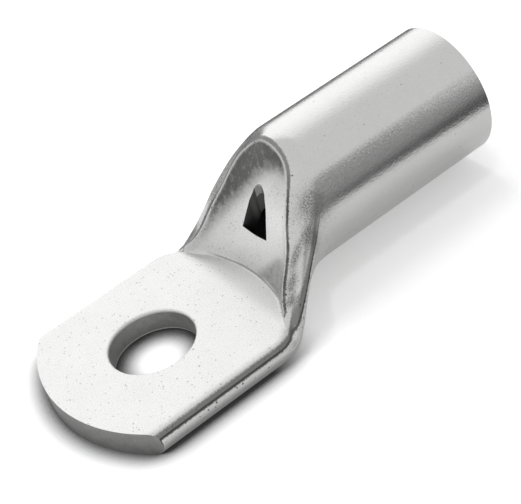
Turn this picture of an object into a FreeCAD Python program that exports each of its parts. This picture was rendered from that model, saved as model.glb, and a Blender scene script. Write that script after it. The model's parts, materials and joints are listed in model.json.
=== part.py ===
"""Tubular cable lug, pressed from one length of round tube.

One end of the tube is left round as the barrel that takes the stripped conductor. The other end
is pressed flat between an anvil and a punch into a palm with a bolt hole and an arched tip. In
the neck between them the punch has pushed the tube's upper wall down and back into a hollow
scoop with an arched rim, and an inspection window is cut straight down through the scoop.

Frame: the origin is the centre of the bolt hole on the palm's underside, +X runs along the
barrel towards its mouth, +Z is up, and the lug is the same on both sides of Y = 0.
All sizes are millimetres and all angles are degrees.
"""
import FreeCAD
import Part
import math
import os

V = FreeCAD.Vector

# Palm
palm_thickness = 3.1
palm_width = 26.6
bolt_hole_diameter = 10.5
tip_reach = 13.1
tip_radius = 19.3
side_bulge_height = 5.1

# Barrel
barrel_diameter = 17.0
tube_wall = 1.75
barrel_lift = 1.1
barrel_length = 25.1
mouth_chamfer = 0.5

# Neck, from where the palm's sides start to close in
neck_set_back = 11.0
neck_length = 11.5
axis_rise_length = 10.3
top_swell_delay = 2.0
underside_swell_delay = 4.0
waist_power = 1.6
outline_spacing = 1.15

# Scoop that the punch leaves, from the neck's start
scoop_set_back = 3.8
scoop_angle = 65.0
scoop_radius = 22.0
scoop_wall = 1.5
crown_above_axis = 1.4
crown_radius = 5.8
crown_lean = 0.45

# Inspection window as seen from above, from the scoop's foot
window_set_back = 2.0
window_length = 2.7
window_width = 4.8
window_apex_width = 1.2

# Values that follow from the ones above
barrel_radius = barrel_diameter / 2
bore_radius = barrel_radius - tube_wall
barrel_axis = barrel_lift + barrel_radius
barrel_top = barrel_lift + barrel_diameter
palm_middle = palm_thickness / 2
neck_start = neck_set_back
neck_end = neck_start + neck_length
axis_rise_end = neck_start + axis_rise_length
barrel_end = neck_end + barrel_length
scoop_foot = neck_start + scoop_set_back
window_base = scoop_foot + window_set_back
beyond = palm_width + barrel_end + tip_reach


def eased(x, start, end):
    """Rise from 0 at start to 1 at end, level at both."""
    t = min(1.0, max(0.0, (x - start) / (end - start)))
    return t * t * (3 - 2 * t)


def half_width(x):
    """Half the pressed tube's width: it narrows fast behind the palm and eases into the barrel."""
    left_to_go = min(1.0, max(0.0, (neck_end - x) / neck_length))
    return barrel_radius + (palm_width / 2 - barrel_radius) * left_to_go**waist_power


def quarter(start, corner, end):
    """Quarter of an ellipse from start to end inside a corner, as weighted points."""
    curve = Part.BSplineCurve()
    curve.buildFromPolesMultsKnots(
        [start, corner, end], [3, 3], [0.0, 1.0], False, 2, [1.0, math.sqrt(0.5), 1.0]
    )
    return curve.toShape()


def outline(x, inset):
    """Closed outline across the tube at x, inset by a wall: four quarters of an ellipse."""
    wide = half_width(x) - inset
    middle = palm_middle + (barrel_axis - palm_middle) * eased(x, neck_start, axis_rise_end)
    swell = barrel_radius - side_bulge_height
    above = swell * eased(x, neck_start + top_swell_delay, neck_end)
    below = swell * eased(x, neck_start + underside_swell_delay, axis_rise_end)
    high = middle + side_bulge_height + above - inset
    low = middle - side_bulge_height - below + inset
    left = V(x, -wide, middle)
    top = V(x, 0, high)
    right = V(x, wide, middle)
    bottom = V(x, 0, low)
    return Part.Wire(
        [
            quarter(left, V(x, -wide, high), top),
            quarter(top, V(x, wide, high), right),
            quarter(right, V(x, wide, low), bottom),
            quarter(bottom, V(x, -wide, low), left),
        ]
    )


def neck_and_barrel(inset):
    """The tube's outer or inner form from the neck's start to the mouth, before the punch."""
    gaps = max(4, round(neck_length / outline_spacing))
    stations = [neck_start + neck_length * i / gaps for i in range(gaps + 1)]
    neck = Part.makeLoft([outline(x, inset) for x in stations], True, False)
    start = V(neck_end, 0, barrel_axis)
    barrel = Part.makeCylinder(barrel_radius - inset, barrel_length, start, V(1, 0, 0))
    return neck.fuse(barrel)


def above_height(z):
    """Everything above a level."""
    return Part.makeBox(2 * beyond, 2 * beyond, beyond, V(-beyond, -beyond, z))


def before_scoop(shift):
    """Everything on the palm's side of the scoop's face, with the face moved along X.

    The face leans back from its foot. Across the lug it is a parabola, hollow low down, which
    turns more and more to a crown on its way to the top of the rim. Both ways it is exactly
    quadratic, so it is written as its control points, one row for each level.
    """
    reach = palm_width / 2 + palm_thickness
    low = -palm_thickness
    crown_start = barrel_axis + crown_above_axis
    high = barrel_top + palm_thickness
    levels = [low, (low + crown_start) / 2, (crown_start + high) / 2, high]
    full_crown = ((high - crown_start) / (barrel_top - crown_start)) ** 2
    hollow = 1 / (2 * scoop_radius)
    crown = 1 / (2 * crown_radius)
    rows = []
    for z, crowned in zip(levels, [0, 0, 0, full_crown]):
        middle = scoop_foot + (z - palm_thickness) / math.tan(math.radians(scoop_angle))
        middle += shift - crown_lean * crowned
        sag = (hollow - (hollow + crown) * crowned) * reach**2
        rows.append([V(middle - sag, -reach, z), V(middle + sag, 0, z), V(middle - sag, reach, z)])
    face = Part.BSplineSurface()
    face.buildFromPolesMultsKnots(
        rows, [3, 1, 3], [3, 3], [low, crown_start, high], [-reach, reach], False, False, 2, 2
    )
    return face.toShape().extrude(V(-beyond, 0, 0))


def outer_form():
    """Palm, neck and barrel with the scoop pressed in, still solid inside."""
    palm_block = Part.Face(outline(neck_start, 0)).extrude(V(-neck_start - 2 * tip_reach, 0, 0))
    blank = neck_and_barrel(0).fuse(palm_block).common(above_height(0))
    punch = before_scoop(0).common(above_height(palm_thickness))
    return blank.cut(punch)


def inside():
    """Hollow of the barrel and the neck, closed where the scoop's wall meets the lower wall."""
    wall_along_x = scoop_wall / math.sin(math.radians(scoop_angle))
    hollow = neck_and_barrel(tube_wall).common(above_height(palm_thickness - scoop_wall))
    return hollow.cut(before_scoop(wall_along_x))


def tip_trim():
    """What is sheared off ahead of the tip's arc."""
    height = 3 * palm_thickness
    centre = V(tip_radius - tip_reach, 0, -palm_thickness)
    corner = V(centre.x - beyond, -palm_width, centre.z)
    block = Part.makeBox(beyond, 2 * palm_width, height, corner)
    return block.cut(Part.makeCylinder(tip_radius, height, centre))


def bolt_hole():
    """Round hole through the palm."""
    return Part.makeCylinder(bolt_hole_diameter / 2, 3 * palm_thickness, V(0, 0, -palm_thickness))


def window():
    """Tapered opening with a blunt apex, cut down through the scoop to the palm's level."""
    base = window_width / 2
    apex = window_apex_width / 2
    far = window_base + window_length
    corners = [(window_base, -base), (far, -apex), (far, apex), (window_base, base)]
    points = [V(x, y, palm_thickness) for x, y in corners]
    return Part.Face(Part.makePolygon(points + points[:1])).extrude(V(0, 0, barrel_top))


def mouth():
    """Cone that breaks the bore's edge at the barrel's mouth."""
    start = V(barrel_end - mouth_chamfer, 0, barrel_axis)
    wide = bore_radius + mouth_chamfer
    return Part.makeCone(bore_radius, wide, mouth_chamfer, start, V(1, 0, 0))


def cable_lug():
    """The finished lug, one solid."""
    return outer_form().cut([inside(), tip_trim(), bolt_hole(), window(), mouth()]).Solids[0]


if __name__ == "__main__":
    os.makedirs("parts", exist_ok=True)
    cable_lug().exportStep("parts/cable_lug.step")
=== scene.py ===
"""Tinned copper cable lug: its pressed, punched and plated surface, and a plain studio."""
import json
import math

import bpy
import numpy as np
from bpy.props import FloatProperty, FloatVectorProperty, PointerProperty
from mathutils import Matrix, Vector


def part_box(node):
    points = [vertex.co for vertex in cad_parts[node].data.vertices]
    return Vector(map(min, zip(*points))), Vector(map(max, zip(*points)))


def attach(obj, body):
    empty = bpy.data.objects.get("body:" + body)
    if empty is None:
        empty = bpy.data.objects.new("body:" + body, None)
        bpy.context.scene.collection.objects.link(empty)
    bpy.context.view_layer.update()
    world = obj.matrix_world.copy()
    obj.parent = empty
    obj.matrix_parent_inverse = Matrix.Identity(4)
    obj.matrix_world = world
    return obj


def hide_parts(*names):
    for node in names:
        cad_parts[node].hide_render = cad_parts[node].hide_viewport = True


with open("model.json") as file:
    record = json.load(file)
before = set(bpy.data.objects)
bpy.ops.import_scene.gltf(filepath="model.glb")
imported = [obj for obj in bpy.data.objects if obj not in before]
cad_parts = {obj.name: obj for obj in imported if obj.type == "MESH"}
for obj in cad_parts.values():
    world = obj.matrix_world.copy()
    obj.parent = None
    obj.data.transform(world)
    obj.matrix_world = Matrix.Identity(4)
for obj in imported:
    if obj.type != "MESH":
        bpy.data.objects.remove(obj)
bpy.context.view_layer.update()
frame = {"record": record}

bl_info = {
    "name": "Tinned cable lug",
    "version": (1, 0, 0),
    "blender": (4, 5, 0),
    "location": "View3D > Sidebar > Cable lug",
    "description": "Builds a pressed tubular cable lug and a studio to look at it in",
    "category": "Mesh",
}

MM = 0.001
NODE = "cable_lug"
MOUNTS = {mount["name"]: mount for mount in frame["record"]["mounts"]}
LOW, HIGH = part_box(NODE)
HOLE_RADIUS = MOUNTS["bolt_hole"]["dims"]["r_mm"] * MM
PALM_THICKNESS = MOUNTS["bolt_hole"]["dims"]["length_mm"] * MM
BORE_RADIUS = MOUNTS["cable_bore"]["dims"]["r_mm"] * MM
BARREL_AXIS = MOUNTS["cable_bore"]["pos_m"][2]
MOUTH_CHAMFER = HIGH.x - MOUNTS["cable_bore"]["pos_m"][0]

PLATED, SHEARED, INSIDE = 0, 1, 2

# Columns in a quarter round, half way across the window, and half way across the bolt hole.
QUARTER = 80
CENTRAL = 12
BLOCK = 23

# Points whose places round to the same multiple of this, in millimetres, are made one.
SAME_PLACE = 1e-5

# The camera's angles in degrees, its place in metres and its lens in millimetres.
CAMERA_AZIMUTH = -115.53
CAMERA_ELEVATION = 36.86
CAMERA_ROLL = -18.79
CAMERA_PLACE = np.array([-41.53, -122.08, 106.18]) * MM
CAMERA_LENS = 98.81

# The point that the lamps face, the softbox's direction, and the world's plain level.
LAMP_AIM = np.array([0.02, 0.0, 0.008])
SOFTBOX_WAY = (0.44, 0.77, 0.46)
WORLD_LEVEL = 0.62


def length(name, description, default):
    """A size in metres that a user may change."""
    return FloatProperty(
        name=name, description=description, default=default, min=0.0,
        subtype="DISTANCE", unit="LENGTH", precision=5,
    )


def tint(name, description, default):
    """A colour that a user may change."""
    return FloatVectorProperty(
        name=name, description=description, default=default, size=3, min=0.0, max=1.0,
        subtype="COLOR",
    )


class LugSizes(bpy.types.PropertyGroup):
    """Sizes of the lug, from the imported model's box and mounts."""

    palm_thickness: length("Palm thickness", "Both walls pressed together", PALM_THICKNESS)
    palm_width: length("Palm width", "Width over the palm's rolled sides", HIGH.y - LOW.y)
    hole_radius: length("Bolt hole radius", "Radius of the hole in the palm", HOLE_RADIUS)
    tip_reach: length("Tip reach", "From the bolt hole's centre to the tip", -LOW.x)
    tip_radius: length("Tip radius", "Radius of the sheared arc at the tip", 19.3 * MM)
    barrel_radius: length("Barrel radius", "Outer radius of the barrel", HIGH.z - BARREL_AXIS)
    bore_radius: length("Bore radius", "Inner radius of the barrel", BORE_RADIUS)
    barrel_axis: length("Barrel axis", "Height of the barrel's axis", BARREL_AXIS)
    mouth: length("Mouth", "From the bolt hole's centre to the barrel's end", HIGH.x)
    mouth_chamfer: length("Mouth chamfer", "Broken edge inside the mouth", MOUTH_CHAMFER)
    rim_rounding: length("Rim rounding", "How softly the rim of the scoop folds", 0.35 * MM)
    crease_depth: length("Crease depth", "Depth of the seam along the sides", 0.12 * MM)


class LugColours(bpy.types.PropertyGroup):
    """Colours of the plated, sheared and inner surfaces."""

    tin: tint("Tin", "Bright plating", (0.70, 0.70, 0.695))
    # The stain colour also paints shade: the dark lines on the rim, foot and seam, the top of the
    # scoop, and dark bands on the far flank and the barrel.
    stain_and_shade: tint("Stain", "Handled and oxidised plating", (0.34, 0.34, 0.33))
    sheared: tint("Sheared", "Cut faces", (0.34, 0.34, 0.335))
    inner: tint("Inside", "Dull surface inside the tube", (0.55, 0.55, 0.545))


def eased(x, start, end):
    """Rise from 0 at start to 1 at end, level at both: three t squared less two t cubed."""
    t = np.clip((x - start) / (end - start), 0, 1)
    return t * t * (3 - 2 * t)


def lower_of(a, b, blend):
    """The lower of two heights, with the corner between them rounded over a blend."""
    share = np.clip(0.5 + 0.5 * (b - a) / blend, 0, 1)
    return b + (a - b) * share - blend * share * (1 - share)


def higher_of(a, b, blend):
    """The higher of two heights, with the corner between them filled over a blend."""
    return -lower_of(-a, -b, blend)


class PressedTube:
    """The lug's surfaces as formulas of place, in millimetres.

    They follow the solid model, with a rounder arch over the scoop, a shoulder that falls away
    beside it, a folded rim, and sides drawn in along their seam.
    """

    neck_start = 11.0
    neck_end = 22.5
    axis_rise_end = 21.3
    top_swell_start = 13.0
    underside_swell_start = 15.0
    waist_power = 1.6
    bulge = 5.1
    scoop_foot = 14.8
    scoop_radius = 22.0
    scoop_slope = math.tan(math.radians(65))
    scoop_wall = 1.5
    crown_start = 10.1
    crown_radius = 14.0
    crown_lean = -0.1
    window_base = 16.8
    window_apex = 19.5
    window_half = 2.4
    shoulder_half = 1.08
    tip_bend_end = -6.6
    hole_lip = 0.35
    fold = (9.0, 13.0)
    fall_depth = 1.0
    fall_width = 3.2
    fall_start = (9.0, 12.0)
    fall_deepest = (19.0, 2.2)
    corner_lift = 0.3
    corner_at = 2.4
    corner_width = 2.0
    corner_rise = (19.8, 21.6)
    cup_depth = 1.6
    cup_fade = 1.2
    cup_start = (9.5, 11.5)
    cup_end = (12.5, 16.8)
    bead_height = 0.22
    bead_width = 0.45
    bead_start = (11.0, 13.0)
    bead_end = (19.0, 21.5)
    seam_height = 2.1
    seam_bend = 11.0
    seam_rise = 0.333
    seam_curve = 0.055
    seam_width = 0.1
    seam_end = (17.0, 21.0)
    flat_depth = 0.19
    flat_height = 0.85

    def __init__(self, sizes):
        self.thick = sizes.palm_thickness / MM
        self.half = sizes.palm_width / 2 / MM
        self.hole = sizes.hole_radius / MM
        self.tip_reach = sizes.tip_reach / MM
        self.tip_radius = sizes.tip_radius / MM
        self.radius = sizes.barrel_radius / MM
        self.bore = sizes.bore_radius / MM
        self.axis = sizes.barrel_axis / MM
        self.mouth = sizes.mouth / MM
        self.chamfer = sizes.mouth_chamfer / MM
        self.rim = sizes.rim_rounding / MM
        self.crease = sizes.crease_depth / MM
        self.wall = self.radius - self.bore

    def half_width(self, x, inset=0.0):
        """Half the tube's width: palm's half to barrel's radius, by a power of what is left."""
        left = (self.neck_end - x) / (self.neck_end - self.neck_start)
        left = np.clip(lower_of(left, 1.0, 0.2), 0, 1)
        return self.radius + (self.half - self.radius) * left**self.waist_power - inset

    def blank(self, x, angle, inset=0.0):
        """The tube before the punch at a station and an angle from the top: an ellipse's point."""
        rise = eased(x, self.neck_start, self.axis_rise_end)
        middle = self.thick / 2 + (self.axis - self.thick / 2) * rise
        swell = self.radius - self.bulge
        above = self.bulge + swell * eased(x, self.top_swell_start, self.neck_end) - inset
        below = self.bulge + swell * eased(x, self.underside_swell_start, self.axis_rise_end)
        below = below - inset
        up = np.cos(angle)
        return middle + np.where(up > 0, above, below) * up

    def scoop(self, x, y):
        """Height of the punched face over a point of the plan.

        Low down the face is a plane leaning back plus a parabola across the lug. Above the
        crown's start the parabola turns over with the square of the height, and the height is
        the near root of a quadratic.
        """
        hollow = 1 / (2 * self.scoop_radius)
        crown = 1 / (2 * self.crown_radius)
        plain = self.thick + (x - self.scoop_foot + hollow * y * y) * self.scoop_slope
        per = 1 / (self.radius + self.axis - self.crown_start) ** 2
        a = per * ((hollow + crown) * y * y - self.crown_lean)
        b = 1 / self.scoop_slope
        c = self.scoop_foot + (self.crown_start - self.thick) * b - hollow * y * y - x
        root = np.sqrt(np.maximum(b * b - 4 * a * c, 0))
        return np.where(plain <= self.crown_start, plain, self.crown_start - 2 * c / (b + root))

    def window_side(self, x):
        """Half the width of the columns that frame the window, at a station."""
        t = (x - self.window_base) / (self.window_apex - self.window_base)
        narrowed = self.window_half + (self.shoulder_half - self.window_half) * t
        widened = self.shoulder_half + (self.window_half - self.shoulder_half) * eased(
            x, self.window_apex, self.neck_end + 4
        )
        return np.where(x < self.window_base, self.window_half, np.where(t < 1, narrowed, widened))

    def leaning(self, x, y):
        """Height of the punched face, moved forward beside the top of the arch.

        The move is two bell curves of the distance across, one at each upper corner of the
        arch, and a little more everywhere away from the middle.
        """
        corner = sum(
            np.exp(-(((y - at) / self.corner_width) ** 2))
            for at in (-self.corner_at, self.corner_at)
        )
        forward = self.corner_lift * corner * eased(x, *self.corner_rise)
        forward = forward + 0.1 * eased(np.abs(y), 1.5, 4.0)
        return self.scoop(x - forward, y)

    def fallen(self, x, y, angle, raw, face):
        """The blank's upper half with its shoulder fallen away beside the arch.

        The fall is one less a bell curve of the distance across, deepest at a station half way
        up the neck, and it dies out where the punched face lies well above the blank.
        """
        station, spread = self.fall_deepest
        fall = self.fall_depth * (1 + 0.65 * np.exp(-(((x - station) / spread) ** 2)))
        fall = fall * eased(x, *self.fall_start)
        fall = fall * (1 - np.exp(-((y / self.fall_width) ** 2)))
        return raw - fall * (1 - eased(face - raw, -0.5, 3.2)) * (np.cos(angle) > 0)

    def bead(self, x, angle, past_rim):
        """Height of the metal pushed up along the rim: a bell curve of the height past it."""
        bead = self.bead_height * np.exp(-((past_rim / self.bead_width) ** 2))
        bead = bead * eased(x, *self.bead_start)
        bead = bead * (1 - eased(x, *self.bead_end))
        return bead * (np.cos(angle) > 0.05)

    def punched(self, x, y, angle):
        """Outer height and how far the blank stands above the punched face.

        The height is the lower of the blank and the pressed form, never below 0. The pressed
        form is the higher of the palm and the punched face, which is cupped along its foot.
        """
        raw = self.blank(x, angle)
        face = self.leaning(x, y)
        raw = self.fallen(x, y, angle, raw, face)
        cup = self.cup_depth * (1 - eased(x, *self.cup_end)) * eased(x, *self.cup_start)
        face = face + cup * np.exp(-np.maximum(raw - face - cup, 0) / self.cup_fade)
        pressed = higher_of(face, self.thick, 0.3)
        blend = 0.75 + (self.rim - 0.75) * eased(x, *self.fold) + 0.5 * eased(x, 19.5, 22.0)
        skin = lower_of(raw, pressed, blend) + self.bead(x, angle, raw - face)
        return higher_of(skin, 0.0, 0.22), raw - face

    def over_seam(self, x, z):
        """Height over the seam, which rises up the neck as a quadratic of the distance."""
        past = np.maximum(x - self.seam_bend, 0)
        return z - (self.seam_height + self.seam_rise * past + self.seam_curve * past * past)

    def side_profile(self, x, y, z):
        """How far the side is drawn in: a flat pressed above the seam, and the seam itself.

        The flat is deepest just above the seam and runs out evenly above it. The seam is a bell
        curve of the height.
        """
        above = self.over_seam(x, z)
        ends = (1 - eased(x, *self.seam_end)) * eased(np.abs(y), 7.0, 8.2)
        flat = self.flat_depth * np.clip(1 - above / self.flat_height, 0, 1)
        flat = flat * eased(above, -0.1, 0.06)
        seam = self.crease * np.exp(-((above / self.seam_width) ** 2))
        return (flat + seam) * ends


# Distances from three lines, held at AWAY in millimetres, and then three shares: stain with
# painted shade, smudges with painted shade, and the barrel.
MARKS = ("rim", "foot", "seam", "stain_and_shade", "smudge_and_shade", "barrel")
AWAY = 3.0


class Patches:
    """Grids of points that are joined into one skin."""

    def __init__(self):
        self.points = []
        self.quads = []
        self.finish = []
        self.marks = []
        self.count = 0

    def add(self, points, finish, marks=None, keep=None, flip=False, seam=AWAY):
        """Add a grid of points with a quad between each four neighbours that is kept.

        Without marks of its own, a patch lies away from every line and has no stain, smudge or
        painted shade.
        """
        rows, columns = points.shape[:2]
        index = np.arange(rows * columns).reshape(rows, columns) + self.count
        quads = np.stack([index[:-1, :-1], index[1:, :-1], index[1:, 1:], index[:-1, 1:]], -1)
        if flip:
            quads = quads[..., ::-1]
        quads = quads[keep] if keep is not None else quads.reshape(-1, 4)
        self.points.append(points.reshape(-1, 3))
        self.quads.append(quads)
        self.finish.append(np.full(len(quads), finish))
        blank = np.tile([-AWAY, -AWAY, seam, 0.0, 0.0, 0.0], (rows * columns, 1))
        self.marks.append(blank if marks is None else marks.reshape(-1, len(MARKS)))
        self.count += rows * columns

    def joined(self):
        """All points with equal places made one, and the quads that still bound the metal.

        Quads with no area are left out, and so are two that lie on each other, back to back.
        """
        points = np.concatenate(self.points)
        quads = np.concatenate(self.quads)
        finish = np.concatenate(self.finish)
        marks = np.concatenate(self.marks)
        keys = np.round(points / SAME_PLACE).astype(np.int64)
        _, first, which = np.unique(keys, axis=0, return_index=True, return_inverse=True)
        quads = which.reshape(-1)[quads]
        _, twin, count = np.unique(
            np.sort(quads, axis=1), axis=0, return_inverse=True, return_counts=True
        )
        alone = count[twin.reshape(-1)] == 1
        quads, finish = quads[alone], finish[alone]
        same = quads == np.roll(quads, -1, axis=1)
        crossed = (quads[:, 0] == quads[:, 2]) | (quads[:, 1] == quads[:, 3])
        whole = (same.sum(1) == 0) & ~crossed
        three = (same.sum(1) == 1) & ~crossed
        turned = np.argmax(same[three], axis=1)[:, None]
        triangles = np.take_along_axis(quads[three], (turned + [1, 2, 3]) % 4, axis=1)
        used = np.unique(np.concatenate([quads[whole].ravel(), triangles.ravel()]))
        place = np.zeros(len(first), int)
        place[used] = np.arange(len(used))
        faces = place[quads[whole]].tolist() + place[triangles].tolist()
        finish = np.concatenate([finish[whole], finish[three]])
        return points[first][used], faces, finish, marks[first][used]


def ring_of(grid, first_row, last_row, first_column, last_column):
    """Points round a block of a grid, in order and closed."""
    return np.concatenate(
        [
            grid[first_row:last_row, first_column],
            grid[last_row, first_column:last_column],
            grid[last_row:first_row:-1, last_column],
            grid[first_row, last_column:first_column:-1],
        ]
    )


def stations(tube):
    """Distances along the lug at which it is worked out, and the rows that frame its openings."""
    tip = np.array([1.0, 0.98, 0.945, 0.89, 0.79, 0.65, 0.5, 0.33, 0.16])
    runs = [
        tube.tip_bend_end - tip * (tube.tip_reach + tube.tip_bend_end),
        np.linspace(tube.tip_bend_end, -tube.tip_bend_end, 24, endpoint=False),
        np.linspace(-tube.tip_bend_end, 9.6, 6, endpoint=False),
        np.linspace(9.6, tube.window_base, 60, endpoint=False),
        np.linspace(tube.window_base, tube.window_apex, 24, endpoint=False),
        np.linspace(tube.window_apex, 22.8, 30, endpoint=False),
        np.linspace(22.8, 26.0, 8, endpoint=False),
        np.linspace(26.0, tube.mouth, 23),
    ]
    starts = np.cumsum([0] + [len(run) for run in runs])
    rows = {"hole": (starts[1], starts[2]), "window": (starts[4], starts[5])}
    return np.concatenate(runs), rows


def angles_round(tube, x, width):
    """Angle of each column from the top, for stations x and the tube's half width there.

    The central columns lie at even parts of the window's half width. The others share out the
    rest of the quarter, closer together towards the side, and the lower half mirrors the upper.
    """
    half = np.arange(QUARTER + 1)
    share = np.clip((half - CENTRAL) / (QUARTER - CENTRAL), 0, 1)
    share = share + 0.15 * np.sin(math.pi * share)
    part = (tube.window_side(x) / width)[:, None]
    window = np.arcsin(part)
    central = np.arcsin(np.minimum(half / CENTRAL, 1) * part)
    upper = np.where(half <= CENTRAL, central, window + (math.pi / 2 - window) * share)
    side = np.concatenate([upper, math.pi - upper[:, -2::-1]], axis=1)
    return np.concatenate([-side[:, :0:-1], side], axis=1)


def bow(tube, x):
    """How far each column of a station bends back towards the palm beside the window's apex."""
    rise = eased(x, 18.2, tube.window_apex) * (1 - eased(x, tube.window_apex, 21.6))
    across = np.abs(np.arange(-2 * QUARTER, 2 * QUARTER + 1)) / CENTRAL
    spread = np.where(across < 1, across**2, 1 / np.maximum(across, 1) ** 2)
    return 0.45 * rise[:, None] * spread[None, :]


def along_skin(values, points):
    """Values over their slope along the skin, so that they read as distances from their zero."""
    slope = 0
    for axis in (0, 1):
        step = np.linalg.norm(np.gradient(points, axis=axis), axis=-1)
        slope = slope + (np.gradient(values, axis=axis) / np.maximum(step, 1e-3)) ** 2
    return np.clip(values / np.sqrt(np.maximum(slope, 0.04)), -AWAY, AWAY)


def line_marks(tube, points, angle, cut):
    """Distances in millimetres from the scoop's rim, its foot and the side seam.

    The rim's is negative outside the scoop, and narrower on the far side. The seam's is stretched
    at the palm's corner and shortened up the neck, where the painted shade band above it is wider.
    Away from its line each mark keeps clear of zero.
    """
    x, y, z = points[..., 0], points[..., 1], points[..., 2]
    up = np.cos(angle)
    rim = np.where(up > 0.02, along_skin(cut, points), -AWAY)
    rim = np.where(rim < 0, rim * (1 - 0.6 * eased(y, 1.0, 4.0)), rim)
    rim = rim - 0.25 * eased(z, 12.0, 16.0)
    rim = np.where(rim < 0, rim - AWAY * (1 - eased(z, 3.3, 3.8)), rim)
    foot = x - tube.scoop_foot + y * y / (2 * tube.scoop_radius)
    foot = np.where((z > 2.9) & (z < 4.2) & (np.abs(y) < 8.0), foot, AWAY * np.sign(foot))
    edge = (z < 2.93) | ((rim < -0.1) & (x > 10.8))
    side = edge & (np.abs(y) > 6.0) & (up < 0.8)
    seam = tube.over_seam(x, z)
    wider = 1 + 0.55 * np.exp(-(((x - 11.5) / 0.9) ** 2)) - 0.45 * eased(x, 12.3, 14.5)
    seam = np.where(seam > 0, seam * wider, seam)
    seam = np.where(side | (up < 0), seam, AWAY)
    return rim, foot, seam


# Centre and size in millimetres of each smudge on the flanks.
SMUDGES = (
    ((16.6, -8.7, 8.6), (1.3, 0.45, 2.0)),
    ((14.9, -9.3, 6.0), (1.1, 0.5, 1.2)),
    ((13.6, -9.9, 4.6), (0.9, 0.4, 0.6)),
    ((14.2, 10.8, 5.0), (1.1, 1.0, 1.3)),
    ((21.2, -7.8, 12.5), (1.9, 1.2, 2.0)),
    ((18.9, -8.9, 9.9), (1.0, 0.5, 1.9)),
)


def share_marks(points, angle, rim):
    """Shares from 0 to 1 of the scoop's stain and painted shade, the smudges and painted dark
    bands, and the barrel.

    The stain, partly painted shade under the arch's overhang, covers the top of the arch, fades
    along a slanting line and comes back low down at the near side. Each smudge is a bell curve
    round a place on the flank, one more follows the rim on the far side as painted shade, and one
    is a strip of the barrel between two angles, painted where its dark reflection band lies.
    """
    x, y, z = points[..., 0], points[..., 1], points[..., 2]
    scoop = eased(rim, -0.05, 0.35) * eased(z, 3.12, 3.5)
    top = 1 - (1 - eased(y + z, 12.1, 16.8)) * (1 - eased(z, 14.4, 16.4))
    low = eased(-y - 1.15 * (z - 4.5), 1.6, 3.6) * eased(z, 8.5, 6.0) * 0.5
    stain_and_shade = scoop * np.maximum(top, low)
    smudge_and_shade = 0
    for at, size in SMUDGES:
        parts = [((v - c) / w) ** 2 for v, c, w in zip((x, y, z), at, size)]
        smudge_and_shade = smudge_and_shade + np.exp(-sum(parts))
    # Painted shade: a dark band along the rim on the far flank.
    far_side = eased(y, 2.0, 4.0) * eased(z, 7.5, 10.5) * (1 - eased(x, 20.8, 22.4))
    smudge_and_shade = np.maximum(smudge_and_shade, far_side * (1 - eased(-rim, 1.2, 3.0)))
    smudge_and_shade = np.minimum(1.5 * smudge_and_shade, 1)
    # Painted reflection: a darker strip along the barrel where its dark reflection band lies.
    turned = -np.degrees(angle)
    strip = eased(turned, 50, 56) * (1 - eased(turned, 67, 75)) * (1 - 0.5 * eased(x, 30, 47))
    behind_neck = eased(x, 19.0, 21.0)
    smudge_and_shade = np.maximum(smudge_and_shade, 0.52 * strip * behind_neck)
    flank = (1 - eased(rim, -0.5, 0.0)) * eased(x, 10.5, 12.5) * (1 - eased(x, 22.5, 26.0))
    flank = np.maximum(flank, behind_neck * (y < 0))
    return stain_and_shade, flank * smudge_and_shade, eased(x, 19.0, 23.5)


def outer_grid(tube):
    """Points of the outer skin, one row for each station and one column for each angle."""
    x, rows = stations(tube)
    width = tube.half_width(x)
    angle = angles_round(tube, x, width)
    y = width[:, None] * np.sin(angle)
    arc = tube.tip_radius - tube.tip_reach - np.sqrt(tube.tip_radius**2 - y * y)
    to_arc = np.clip((tube.tip_bend_end - x) / (tube.tip_reach + tube.tip_bend_end), 0, 1)
    plan = np.where(
        to_arc[:, None] > 0,
        arc * to_arc[:, None] + tube.tip_bend_end * (1 - to_arc[:, None]),
        x[:, None] - bow(tube, x),
    )
    z, cut = tube.punched(plan, y, angle)
    y = y - np.sign(y) * tube.side_profile(plan, y, z)
    points = np.stack([plan, y, z], axis=-1)
    lines = line_marks(tube, points, angle, cut)
    marks = np.stack([*lines, *share_marks(points, angle, lines[0])], axis=-1)
    return points, rows, marks


def inner_grid(tube, outer, rows):
    """Points of the inner skin, from its closed end to the mouth's chamfer.

    Beside the window its plan is the outer grid's own, so that the window's walls are upright.
    Ahead of it the rows run back to the line where the scoop's wall meets the lower wall.
    """
    first, last = rows["window"]
    x, _ = stations(tube)
    beside = x[first : last + 1]
    cone = tube.mouth - tube.chamfer
    full = 24.0
    behind = [np.linspace(tube.window_apex, full, 13)[1:], np.linspace(full, cone, 14)[1:]]
    ahead = np.linspace(0, 1, 13)[:-1]
    shift = tube.scoop_wall / math.sin(math.atan(tube.scoop_slope))
    floor = tube.thick - tube.scoop_wall

    def closing(y):
        """Where the inner side of the scoop's wall meets the lower wall's upper side."""
        return (
            tube.scoop_foot + shift - tube.scoop_wall / tube.scoop_slope
            - y * y / (2 * tube.scoop_radius)
        )

    base = tube.window_base
    station = np.concatenate([np.full(len(ahead), base), beside, *behind])
    plan = station[:, None] - bow(tube, station)
    share = np.concatenate([ahead, np.ones(len(station) - len(ahead))])[:, None]
    angle = angles_round(tube, station, tube.half_width(station, tube.wall))
    for _ in range(6):
        y = tube.half_width(plan, tube.wall) * np.sin(angle)
        plan = np.where(share < 1, closing(y) + share * (base - closing(y)), plan)
    raw = tube.blank(plan, angle, tube.wall)
    roof = np.maximum(tube.scoop(plan - shift, y), floor)
    z = np.where(share == 0, floor, np.minimum(np.maximum(raw, floor), roof))
    grid = np.stack([plan, y, z], axis=-1)
    block = slice(2 * QUARTER - CENTRAL, 2 * QUARTER + CENTRAL + 1)
    start = len(ahead)
    grid[start : start + len(beside), block, :2] = outer[first : last + 1, block, :2]
    near = grid[start : start + len(beside), block]
    near[..., 2] = tube.scoop(near[..., 0] - shift, near[..., 1])
    return grid, (start, start + len(beside) - 1)


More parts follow.
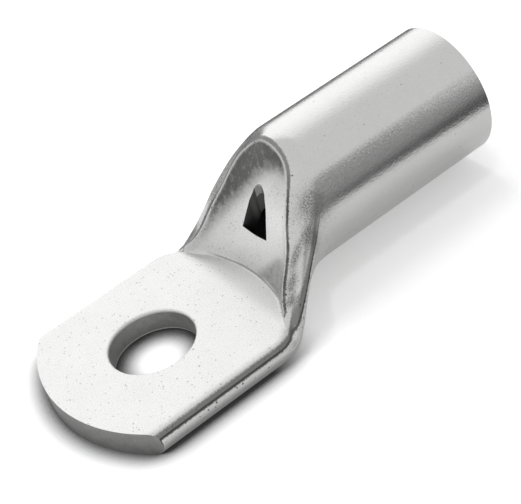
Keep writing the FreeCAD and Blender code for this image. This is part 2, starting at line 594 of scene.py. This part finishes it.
def rounded_ring(tube, ring, top):
    """Skin from a ring on the palm's face in to the hole's rounded lip.

    Each point of the ring moves straight towards its own bearing on the hole's circle, in
    steps that shorten towards it, and the lip turns a quarter round.
    """
    bearing = np.arctan2(ring[:, 1], ring[:, 0])
    lip = tube.hole_lip
    outer = np.stack([np.cos(bearing), np.sin(bearing)], axis=-1)
    steps = np.linspace(0, 1, 8)[:, None, None] ** 0.8
    flat = ring[None, :, :2] * (1 - steps) + outer[None] * (tube.hole + lip) * steps
    face = ring[None, :, 2] * (1 - steps[..., 0]) + (tube.thick if top else 0.0) * steps[..., 0]
    turn = np.linspace(0, math.pi / 2, 7)[1:, None]
    radius = tube.hole + lip * (1 - np.sin(turn))
    drop = lip * (1 - np.cos(turn))
    curl = outer[None] * radius[..., None]
    height = np.broadcast_to(tube.thick - drop if top else drop, curl.shape[:2])
    points = np.concatenate([flat, curl])
    heights = np.concatenate([face, height])
    return np.concatenate([points, heights[..., None]], axis=-1)


def closed(grid):
    """The same grid with its first column again at its end."""
    return np.concatenate([grid, grid[:, :1]], axis=1)


def between(first, last, count):
    """Rows of points in even steps from one row to another."""
    share = np.linspace(0, 1, count)[:, None, None]
    return first * (1 - share) + last * share


def cells(grid, kept=True):
    """A mark for each quad of a grid: whether it is kept."""
    return np.full((grid.shape[0] - 1, grid.shape[1] - 1), kept)


def lug_skin(tube):
    """The whole lug as one closed skin: outer and inner skins, hole, tip, mouth and window."""
    patches = Patches()
    outer, rows, marks = outer_grid(tube)
    top = 2 * QUARTER
    first, last = rows["hole"]
    start, end = rows["window"]
    keep = cells(outer)
    keep[first:last, top - BLOCK : top + BLOCK] = False
    keep[first:last, :BLOCK] = False
    keep[first:last, -BLOCK:] = False
    keep[start:end, top - CENTRAL : top + CENTRAL] = False
    patches.add(outer, PLATED, marks=marks, keep=keep)

    under = np.concatenate([outer[:, top:-1], outer[:, : top + 1]], axis=1)[:, ::-1]
    above = rounded_ring(tube, ring_of(outer, first, last, top - BLOCK, top + BLOCK), True)
    below = rounded_ring(tube, ring_of(under, first, last, top - BLOCK, top + BLOCK), False)
    patches.add(closed(above), PLATED, flip=True)
    patches.add(closed(below), PLATED, seam=-AWAY)
    patches.add(closed(between(above[-1], below[-1], 9)), SHEARED, flip=True)

    upper = outer[0, top - QUARTER : top + QUARTER + 1]
    lower = under[0, top - QUARTER : top + QUARTER + 1]
    patches.add(between(upper, lower, 13), SHEARED, flip=True)

    inner, (near, far) = inner_grid(tube, outer, rows)
    keep = cells(inner)
    keep[near:far, top - CENTRAL : top + CENTRAL] = False
    patches.add(inner, INSIDE, keep=keep, flip=True)
    frame_out = ring_of(outer, start, end, top - CENTRAL, top + CENTRAL)
    frame_in = ring_of(inner, near, far, top - CENTRAL, top + CENTRAL)
    walls = closed(between(frame_out, frame_in, 9))
    # The window's side walls take the inside finish, whose painted shade darkens them; only the
    # walls at the apex are sheared.
    side = end - start
    torn = cells(walls, False)
    torn[:3, side - 2 : side + 2 * CENTRAL - 1] = True
    patches.add(walls, SHEARED, keep=torn, flip=True)
    patches.add(walls, INSIDE, keep=~torn, flip=True)

    centre = np.array([tube.mouth, 0, tube.axis])
    wider = (tube.bore + tube.chamfer) / tube.bore
    lip = centre + (inner[-1] - centre) * [0, wider, wider]
    patches.add(np.stack([inner[-1], lip]), SHEARED, flip=True)
    patches.add(between(lip, outer[-1], 4), SHEARED, flip=True)
    return patches.joined()


def linked(name, data):
    """A new object in the scene, with this mesh, lamp or camera."""
    piece = bpy.data.objects.new(name, data)
    bpy.context.scene.collection.objects.link(piece)
    return piece


def give_mesh(name, points, faces, finish, marks):
    """A new object whose mesh has these points in millimetres, faces and named marks."""
    mesh = bpy.data.meshes.new(name)
    mesh.from_pydata((points * MM).tolist(), [], faces)
    mesh.polygons.foreach_set("material_index", finish.astype(np.int32))
    for column, mark in enumerate(MARKS):
        layer = mesh.attributes.new(mark, "FLOAT", "POINT")
        layer.data.foreach_set("value", marks[:, column].astype(np.float32))
    mesh.update()
    mesh.shade_smooth()
    mesh.set_sharp_from_angle(angle=math.radians(34))
    return linked(name, mesh)


class Nodes:
    """A short way to add nodes to a tree and to join them."""

    def __init__(self, tree):
        self.tree = tree

    def add(self, kind, values=None, **settings):
        """Add a node, apply its settings, and set or join each named input."""
        made = self.tree.nodes.new(kind)
        for name, value in settings.items():
            setattr(made, name, value)
        for name, value in (values or {}).items():
            socket = made.inputs[name]
            if isinstance(value, bpy.types.NodeSocket):
                self.tree.links.new(value, socket)
            else:
                socket.default_value = value
        return made

    def maths(self, operation, *values, clamp=False):
        """Result of a sum, product or other operation on numbers or sockets."""
        made = self.add(
            "ShaderNodeMath", dict(enumerate(values)), operation=operation, use_clamp=clamp
        )
        return made.outputs[0]

    def times(self, first, second, clamp=False):
        """Product of two numbers or sockets."""
        return self.maths("MULTIPLY", first, second, clamp=clamp)

    def scaled(self, value, factor, start, clamp=False):
        """A value times a factor, plus a start."""
        return self.maths("MULTIPLY_ADD", value, factor, start, clamp=clamp)

    def larger(self, first, second):
        """The larger of two numbers or sockets."""
        return self.maths("MAXIMUM", first, second)

    def blend(self, share, first, second):
        """One colour changed into another by a share."""
        first, second = (
            each if isinstance(each, bpy.types.NodeSocket) else (*each, 1.0)
            for each in (first, second)
        )
        made = self.add("ShaderNodeMix", {0: share, 6: first, 7: second}, data_type="RGBA")
        return made.outputs[2]

    def ramp(self, value, low, high, to_low=0.0, to_high=1.0):
        """A value carried from one range to another and held at both ends."""
        made = self.add(
            "ShaderNodeMapRange",
            {"Value": value, "From Min": low, "From Max": high, "To Min": to_low,
             "To Max": to_high},
            interpolation_type="SMOOTHSTEP",
        )
        return made.outputs[0]

    def noise(self, vector, scale, detail, roughness=0.5):
        """Noise of one scale all ways."""
        made = self.add(
            "ShaderNodeTexNoise",
            {"Vector": vector, "Scale": scale, "Detail": detail, "Roughness": roughness},
        )
        return made.outputs[0]

    def drawn(self, vector, scales, detail):
        """Noise drawn out into lines by a scale for each axis."""
        made = self.add("ShaderNodeMapping", {"Vector": vector, "Scale": scales})
        return self.noise(made.outputs[0], 1.0, detail)

    def place(self):
        """Place on the piece, in metres."""
        return self.add("ShaderNodeTexCoord").outputs["Object"]

    def split(self, vector):
        """The X, Y and Z of a vector."""
        return self.add("ShaderNodeSeparateXYZ", {"Vector": vector}).outputs

    def pattern(self, name, place, **values):
        """Outputs of a shared group, which is made on first use."""
        tree = bpy.data.node_groups.get(name) or GROUPS[name]()
        return self.add("ShaderNodeGroup", {"Vector": place, **values}, node_tree=tree).outputs

    def shader(self, kind, values):
        """Output of a shader."""
        return self.add("ShaderNode" + kind, values).outputs[0]

    def metal(self, values, height, depth, strength=0.5):
        """Give the material a metal's shader, over a bump whose depth is in millimetres."""
        bump = self.add(
            "ShaderNodeBump", {"Strength": strength, "Distance": depth * MM, "Height": height}
        )
        metal = self.shader("BsdfPrincipled", {**values, "Normal": bump.outputs["Normal"]})
        self.add("ShaderNodeOutputMaterial", {"Surface": metal})


def shade(colour, share):
    """A colour made darker or lighter by a share."""
    return [min(channel * share, 1.0) for channel in colour]


def new_material(name):
    """An empty node material and its node helper."""
    material = bpy.data.materials.new(name)
    material.use_nodes = True
    material.node_tree.nodes.clear()
    return material, Nodes(material.node_tree)


def new_group(name, outputs, **defaults):
    """A shader node group over a vector, its node helper, and what it is given."""
    group = bpy.data.node_groups.new(name, "ShaderNodeTree")
    group.interface.new_socket("Vector", in_out="INPUT", socket_type="NodeSocketVector")
    for label, value in defaults.items():
        socket = group.interface.new_socket(label, in_out="INPUT", socket_type="NodeSocketFloat")
        socket.default_value = value
    for label in outputs:
        group.interface.new_socket(label, in_out="OUTPUT", socket_type="NodeSocketFloat")
    nodes = Nodes(group)
    return group, nodes, nodes.add("NodeGroupInput").outputs


def pit_group():
    """Small dark pits and dust: the near cells of a cell pattern, only some of them filled."""
    group, nodes, given = new_group("tin_pits", ["Mask"], Scale=2000.0, Share=0.1, Size=0.3)
    cell = nodes.add(
        "ShaderNodeTexVoronoi", {"Vector": given["Vector"], "Scale": given["Scale"]}
    ).outputs
    chance = nodes.add("ShaderNodeSeparateColor", {"Color": cell["Color"]}).outputs
    picked = nodes.maths("LESS_THAN", chance[0], given["Share"])
    edge = nodes.maths("SUBTRACT", nodes.times(given["Size"], chance[1]), cell["Distance"])
    mask = nodes.times(nodes.times(edge, 9.0, clamp=True), picked)
    nodes.add("NodeGroupOutput", {"Mask": mask})
    return group


def mottle_group():
    """Patchy plating: noise with half as much of a finer one, and the finer one by itself.

    Both are stretched about their middle by the contrast.
    """
    group, nodes, given = new_group("tin_mottle", ["Mask", "Fine"], Scale=900.0, Contrast=3.0)
    broad = nodes.noise(given["Vector"], given["Scale"], 4.0, 0.65)
    fine = nodes.noise(given["Vector"], nodes.times(given["Scale"], 5.2), 2.0, 0.6)
    both = nodes.scaled(fine, 0.5, broad)
    masks = {}
    for label, value, middle in (("Mask", both, 0.75), ("Fine", fine, 0.5)):
        off = nodes.maths("SUBTRACT", value, middle)
        masks[label] = nodes.scaled(off, given["Contrast"], 0.5, clamp=True)
    nodes.add("NodeGroupOutput", masks)
    return group


def skin_group():
    """Height of the metal's own skin: fine peel, and lines drawn lengthwise."""
    group, nodes, given = new_group("tin_skin", ["Height"], Peel=1.0, Lines=0.3, Scale=3200.0)
    peel = nodes.noise(given["Vector"], given["Scale"], 2.5, 0.6)
    lines = nodes.drawn(given["Vector"], (300.0, 5200.0, 5200.0), 2.0)
    height = nodes.scaled(lines, given["Lines"], nodes.times(peel, given["Peel"]))
    nodes.add("NodeGroupOutput", {"Height": height})
    return group


GROUPS = {"tin_pits": pit_group, "tin_mottle": mottle_group, "tin_skin": skin_group}

# Mark, the middle and the half width in millimetres of its painted shade line, and how dark it is:
# the rim's crest, the crease at the scoop's foot, the seam, and the band above the seam.
PAINTED_DARK_LINES = (
    ("rim", -0.38, 0.32, 1.0),
    ("foot", 0.02, 0.11, 0.6),
    ("seam", 0.0, 0.12, 0.95),
    ("seam", 0.38, 0.44, 0.75),
)


def plated_tin(colours):
    """Bright plating: satin barrel, speckled matt palm painted lighter, a scoop stained and
    painted in shade, smudged flanks, and painted shade lines along the rim, the foot and the seam.
    """
    material, nodes = new_material("tin_plating")
    place = nodes.place()
    along, across, up = nodes.split(place)
    mark = {
        name: nodes.add("ShaderNodeAttribute", attribute_name=name).outputs["Fac"]
        for name in MARKS
    }
    broad = nodes.pattern("tin_mottle", place, Scale=260.0, Contrast=2.2)["Mask"]
    grain = nodes.pattern("tin_mottle", place, Scale=1300.0, Contrast=3.2)
    dust = nodes.pattern("tin_pits", place, Scale=1700.0, Share=0.06, Size=0.3)["Mask"]
    pepper = nodes.pattern("tin_pits", place, Scale=3600.0, Share=0.16, Size=0.5)["Mask"]
    specks = nodes.pattern("tin_pits", place, Scale=2500.0, Share=0.25, Size=0.42)["Mask"]
    palm = nodes.maths("SUBTRACT", 1.0, mark["barrel"])
    behind_palm = nodes.ramp(along, 10.8 * MM, 12.5 * MM)
    before_barrel = nodes.ramp(along, 19.5 * MM, 22.0 * MM, 1.0, 0.0)
    flat = nodes.ramp(up, 2.8 * MM, 3.08 * MM)
    flat = nodes.maths("SUBTRACT", flat, behind_palm, clamp=True)

    # Painted light: the palm is the barrel's tin painted lighter, and its flat top lighter still.
    tone = nodes.blend(palm, colours.tin, shade(colours.tin, 1.13))
    tone = nodes.blend(flat, tone, shade(colours.tin, 1.33))
    tone = nodes.blend(nodes.times(broad, 0.06), tone, colours.stain_and_shade)
    grey = nodes.times(grain["Fine"], nodes.scaled(palm, 0.22, 0.13))
    tone = nodes.blend(grey, tone, shade(colours.tin, 0.55))
    peppered = nodes.times(pepper, nodes.scaled(palm, 0.45, 0.15))
    tone = nodes.blend(peppered, tone, colours.stain_and_shade)
    tone = nodes.blend(nodes.times(dust, 0.75), tone, colours.stain_and_shade)

    uneven = nodes.scaled(grain["Mask"], 0.4, 0.85)
    stained_and_shaded = nodes.times(mark["stain_and_shade"], uneven, clamp=True)
    # Stain and painted shade: the scoop's top is painted dark under the arch.
    tone = nodes.blend(nodes.times(stained_and_shaded, 0.96), tone, shade(colours.stain_and_shade, 0.3))
    torn = nodes.scaled(grain["Fine"], 1.0, 0.3)
    # Smudges, with painted shade along the far rim and a painted reflection strip on the barrel.
    smudged_and_shaded = nodes.times(mark["smudge_and_shade"], torn, clamp=True)
    tone = nodes.blend(nodes.times(smudged_and_shaded, 0.85), tone, shade(colours.stain_and_shade, 0.45))
    # Share by which the metal is dulled: stain, smudges, the painted shade lines and the palm's
    # flat top.
    dulled = nodes.larger(nodes.times(stained_and_shaded, 0.6), smudged_and_shaded)

    below_arch = nodes.times(behind_palm, nodes.ramp(up, 12.5 * MM, 16.5 * MM, 1.0, 0.72))
    middle = nodes.ramp(nodes.maths("ABSOLUTE", across), 5.2 * MM, 7.8 * MM, 1.0, 0.0)
    middle = nodes.times(behind_palm, middle)
    part = {"rim": below_arch, "foot": middle, "seam": before_barrel}
    ragged = nodes.maths("SUBTRACT", grain["Fine"], 0.5)
    # Painted shade: dark lines on the rim's crest, in the crease at the scoop's foot, in the seam
    # and in a band above it.
    for name, centre, reach, share in PAINTED_DARK_LINES:
        off = nodes.maths("SUBTRACT", mark[name], centre)
        off = nodes.maths("ABSOLUTE", nodes.scaled(ragged, 0.4 * reach, off))
        line = nodes.times(nodes.ramp(off, 0.5 * reach, reach, share, 0.0), part[name])
        if name == "rim":
            line = nodes.times(line, nodes.scaled(broad, 0.35, 0.78, clamp=True))
        tone = nodes.blend(line, tone, shade(colours.stain_and_shade, 0.28))
        dulled = nodes.larger(dulled, line)

    by_rim = nodes.maths("ABSOLUTE", nodes.maths("ADD", mark["rim"], 0.4))
    by_rim = nodes.times(nodes.ramp(by_rim, 0.3, 1.5, 1.0, 0.0), behind_palm)
    by_seam = nodes.ramp(nodes.maths("ABSOLUTE", mark["seam"]), 0.3, 1.3, 1.0, 0.0)
    by_seam = nodes.times(by_seam, before_barrel)
    speckled = nodes.times(nodes.larger(by_rim, by_seam), specks)
    tone = nodes.blend(nodes.times(speckled, 0.85), tone, shade(colours.stain_and_shade, 0.2))
    dulled = nodes.larger(dulled, nodes.times(flat, 0.85))
    bare = nodes.scaled(dulled, -0.75, 1.0, clamp=True)

    rough = nodes.scaled(palm, 0.18, 0.17)
    rough = nodes.scaled(broad, 0.05, rough)
    rough = nodes.scaled(stained_and_shaded, 0.12, rough)
    peel = nodes.scaled(palm, 0.2, 1.0)
    skin = nodes.pattern("tin_skin", place, Peel=peel, Lines=0.1, Scale=4200.0)
    height = nodes.scaled(dust, -0.8, skin["Height"])
    looks = {"Base Color": tone, "Metallic": bare, "Roughness": rough}
    nodes.metal({**looks, "Specular IOR Level": 0.2}, height, 0.05)
    return material


def sheared_tin(colours):
    """Cut faces: duller, with upright tear lines left by the shear."""
    material, nodes = new_material("tin_sheared")
    place = nodes.place()
    tears = nodes.drawn(place, (2600.0, 2600.0, 420.0), 3.0)
    mottle = nodes.pattern("tin_mottle", place, Scale=1100.0)["Mask"]
    tone = nodes.blend(mottle, colours.sheared, shade(colours.sheared, 0.8))
    rough = nodes.scaled(tears, 0.2, 0.3)
    nodes.metal({"Base Color": tone, "Metallic": 1.0, "Roughness": rough}, tears, 0.04)
    return material


def inner_wall(colours):
    """Dull inside of the tube, with lines left by drawing it, and painted shade that darkens it
    towards its closed end.
    """
    material, nodes = new_material("tube_inside")
    place = nodes.place()
    skin = nodes.pattern("tin_skin", place, Lines=1.0)
    mottle = nodes.pattern("tin_mottle", place, Scale=500.0)["Mask"]
    tone = nodes.blend(mottle, colours.inner, shade(colours.inner, 0.7))
    # Painted shade: the inside gets darker towards its closed end.
    shade_to_closed_end = nodes.ramp(nodes.split(place)["X"], 21.0 * MM, 36.0 * MM, 1.0, 0.0)
    tone = nodes.blend(shade_to_closed_end, tone, shade(colours.inner, 0.18))
    looks = {"Base Color": tone, "Metallic": 1.0, "Roughness": 0.45}
    nodes.metal(looks, skin["Height"], 0.04, strength=0.4)
    return material


class OBJECT_OT_cable_lug(bpy.types.Operator):
    """Make the lug's skin and its finishes"""

    bl_idname = "object.add_cable_lug"
    bl_label = "Cable lug"

    def execute(self, context):
        tube = PressedTube(context.scene.lug_sizes)
        colours = context.scene.lug_colours
        points, faces, finish, marks = lug_skin(tube)
        piece = give_mesh("tinned_lug", points, faces, finish, marks)
        piece.data.materials.append(plated_tin(colours))
        piece.data.materials.append(sheared_tin(colours))
        piece.data.materials.append(inner_wall(colours))
        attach(piece, "root")
        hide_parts(NODE)
        return {"FINISHED"}


def card(name, corners, faces, material):
    """A stage piece from corner points in millimetres."""
    mesh = bpy.data.meshes.new(name)
    mesh.from_pydata([tuple(v * MM for v in corner) for corner in corners], [], faces)
    mesh.update()
    mesh.materials.append(material)
    piece = linked(name, mesh)
    return piece


def screen(name, corners, faces, axis, reach, strengths):
    """A card that only reflections show, and that glows more or less along one axis."""
    material, nodes = new_material(name)
    along = nodes.split(nodes.place())[axis]
    level = nodes.ramp(along, reach[0] * MM, reach[1] * MM, *strengths)
    light = nodes.shader("Emission", {"Strength": level})
    nodes.add("ShaderNodeOutputMaterial", {"Surface": light})
    piece = card(name, corners, faces, material)
    piece.visible_camera = False
    piece.visible_diffuse = False
    piece.visible_transmission = False
    piece.visible_shadow = False


def facing(azimuth, elevation):
    """Right, up and backward directions of what looks at the lug from a bearing and a height."""
    azimuth, elevation = math.radians(azimuth), math.radians(elevation)
    level = math.cos(elevation)
    back = np.array(
        [math.cos(azimuth) * level, math.sin(azimuth) * level, math.sin(elevation)]
    )
    right = np.array([-math.sin(azimuth), math.cos(azimuth), 0])
    return right, np.cross(back, right), back


def put(piece, right, up, back, place):
    """Place a lamp or the camera at a point in metres and turn it by its own directions."""
    rows = [(right[i], up[i], back[i], place[i]) for i in range(3)]
    piece.matrix_world = Matrix(rows + [(0, 0, 0, 1)])


def lamp(name, size, radiance, azimuth, elevation, away):
    """A soft rectangular lamp that faces the lug from a bearing, a height and a distance."""
    data = bpy.data.lights.new(name, "AREA")
    data.shape = "RECTANGLE"
    data.size, data.size_y = size
    data.energy = radiance * math.pi * size[0] * size[1]
    piece = linked(name, data)
    right, up, back = facing(azimuth, elevation)
    put(piece, right, up, back, LAMP_AIM + away * back)
    return piece


def paper():
    """White paper that keeps the lug's shadow, with a painted contact shadow that is darkest where
    the lug touches it.

    Reflections show it duller than the camera does, and other light meets plain grey.
    """
    material, nodes = new_material("floor_paper")
    path = nodes.add("ShaderNodeLightPath").outputs
    seen = nodes.larger(path["Is Camera Ray"], path["Is Glossy Ray"])
    seen = nodes.larger(seen, path["Is Transmission Ray"])
    # Painted contact shadow: an occlusion test darkens the paper's colour by the lug, less so past
    # the palm.
    touch = nodes.add("ShaderNodeAmbientOcclusion", {"Distance": 3.8 * MM}, samples=8)
    open_sky = nodes.ramp(touch.outputs["AO"], 0.46, 1.0, 0.04, 1.0)
    along = nodes.split(nodes.place())["X"]
    open_sky = nodes.larger(open_sky, nodes.ramp(along, 6.0 * MM, 16.0 * MM, 0.0, 0.9))
    pale, dimmer = (
        nodes.add("ShaderNodeCombineColor", {i: level for i in range(3)}).outputs[0]
        for level in (open_sky, nodes.times(open_sky, 0.64))
    )
    white = nodes.shader("BsdfDiffuse", {"Color": pale})
    gain = nodes.shader("Emission", {"Color": pale, "Strength": 0.32})
    bright = nodes.shader("AddShader", {0: white, 1: gain})
    soft = nodes.shader("BsdfDiffuse", {"Color": dimmer})
    plain = nodes.shader("AddShader", {0: soft, 1: nodes.shader("Emission", {"Strength": 0.24})})
    shown = nodes.shader("MixShader", {0: path["Is Camera Ray"], 1: plain, 2: bright})
    grey = nodes.shader("BsdfDiffuse", {"Color": (0.8, 0.8, 0.8, 1)})
    mixed = nodes.shader("MixShader", {0: seen, 1: grey, 2: shown})
    nodes.add("ShaderNodeOutputMaterial", {"Surface": mixed})
    return material


def studio_world(scene):
    """White for the camera; for reflections a light grey room, brighter round the softbox."""
    world = bpy.data.worlds.new("studio")
    scene.world = world
    world.use_nodes = True
    world.node_tree.nodes.clear()
    nodes = Nodes(world.node_tree)
    way = nodes.add("ShaderNodeTexCoord").outputs["Generated"]
    near = nodes.add(
        "ShaderNodeVectorMath", {0: way, 1: SOFTBOX_WAY}, operation="DOT_PRODUCT"
    )
    level = nodes.ramp(near.outputs["Value"], 0.72, 0.97, 0.80, 1.24)
    path = nodes.add("ShaderNodeLightPath").outputs
    mirrored = nodes.larger(path["Is Glossy Ray"], path["Is Transmission Ray"])
    level = nodes.scaled(mirrored, nodes.maths("SUBTRACT", level, WORLD_LEVEL), WORLD_LEVEL)
    back = nodes.shader("Background", {"Color": (1, 1, 1, 1), "Strength": level})
    white = nodes.shader("Background", {"Color": (1, 1, 1, 1), "Strength": 1.0})
    mixed = nodes.shader("MixShader", {0: path["Is Camera Ray"], 1: back, 2: white})
    nodes.add("ShaderNodeOutputWorld", {"Surface": mixed})


class SCENE_OT_lug_stage(bpy.types.Operator):
    """Make the floor, the soft lights and the camera"""

    bl_idname = "scene.add_lug_stage"
    bl_label = "Stage"

    def execute(self, context):
        scene = context.scene
        wide = [(-1500, -1500, 0), (1500, -1500, 0), (1500, 1500, 0), (-1500, 1500, 0)]
        card("floor", wide, [(0, 1, 2, 3)], paper())
        near = [(-140, -50), (30, -50), (80, -10), (80, 40), (12, 40), (-140, 120)]
        far = [(-900, -900), (0, -1200), (900, -300), (1200, 900), (0, 1200), (-1200, 300)]
        screen(
            "dark_surround", [(x, y, 0.1) for x, y in near + far],
            [(i, i + 6, (i + 1) % 6 + 6, (i + 1) % 6) for i in range(6)],
            "Y", (-50.0, 80.0), (0.09, 0.17),
        )
        screen(
            "grey_screen",
            [(30, -75, 0.2), (30, -75, 76), (66, -75, 53), (150, -75, 0.2)],
            [(0, 1, 2, 3)], "Z", (0.0, 30.0), (0.17, 0.42),
        )
        screen(
            "pale_screen", [(-60, 18, 0.15), (4, 22, 0.15), (34, 80, 0.15), (-60, 130, 0.15)],
            [(0, 1, 2, 3)], "Z", (0.0, 30.0), (1.5, 1.5),
        )
        studio_world(scene)
        lamp("softbox", (0.44, 0.23), radiance=0.13, azimuth=60, elevation=23, away=0.35)
        key = lamp("key", (0.5, 0.5), radiance=2.2, azimuth=100, elevation=55, away=0.6)
        key.visible_glossy = False

        data = bpy.data.cameras.new("camera")
        data.sensor_width = 36.0
        data.lens = CAMERA_LENS
        eye = linked("camera", data)
        scene.camera = eye
        level, upright, back = facing(CAMERA_AZIMUTH, CAMERA_ELEVATION)
        roll = math.radians(CAMERA_ROLL)
        right = math.cos(roll) * level + math.sin(roll) * upright
        put(eye, right, np.cross(back, right), back, CAMERA_PLACE)
        scene.view_settings.view_transform = "Standard"
        return {"FINISHED"}


class VIEW3D_PT_cable_lug(bpy.types.Panel):
    """Sidebar panel that lists the lug's sizes, colours and operators"""

    bl_label = "Cable lug"
    bl_idname = "VIEW3D_PT_cable_lug"
    bl_space_type = "VIEW_3D"
    bl_region_type = "UI"
    bl_category = "Cable lug"

    def draw(self, context):
        for group in (context.scene.lug_sizes, context.scene.lug_colours):
            box = self.layout.box()
            for name in group.__annotations__:
                box.prop(group, name)
        self.layout.operator(OBJECT_OT_cable_lug.bl_idname)
        self.layout.operator(SCENE_OT_lug_stage.bl_idname)


CLASSES = (
    LugSizes,
    LugColours,
    OBJECT_OT_cable_lug,
    SCENE_OT_lug_stage,
    VIEW3D_PT_cable_lug,
)


def register():
    """Register the classes and the scene's two groups of settings."""
    for each in CLASSES:
        bpy.utils.register_class(each)
    bpy.types.Scene.lug_sizes = PointerProperty(type=LugSizes)
    bpy.types.Scene.lug_colours = PointerProperty(type=LugColours)


def unregister():
    """Take both groups of settings and the classes away again."""
    del bpy.types.Scene.lug_colours
    del bpy.types.Scene.lug_sizes
    for each in reversed(CLASSES):
        bpy.utils.unregister_class(each)


def main():
    register()
    bpy.ops.object.add_cable_lug()
    bpy.ops.scene.add_lug_stage()


if __name__ == "__main__":
    main()
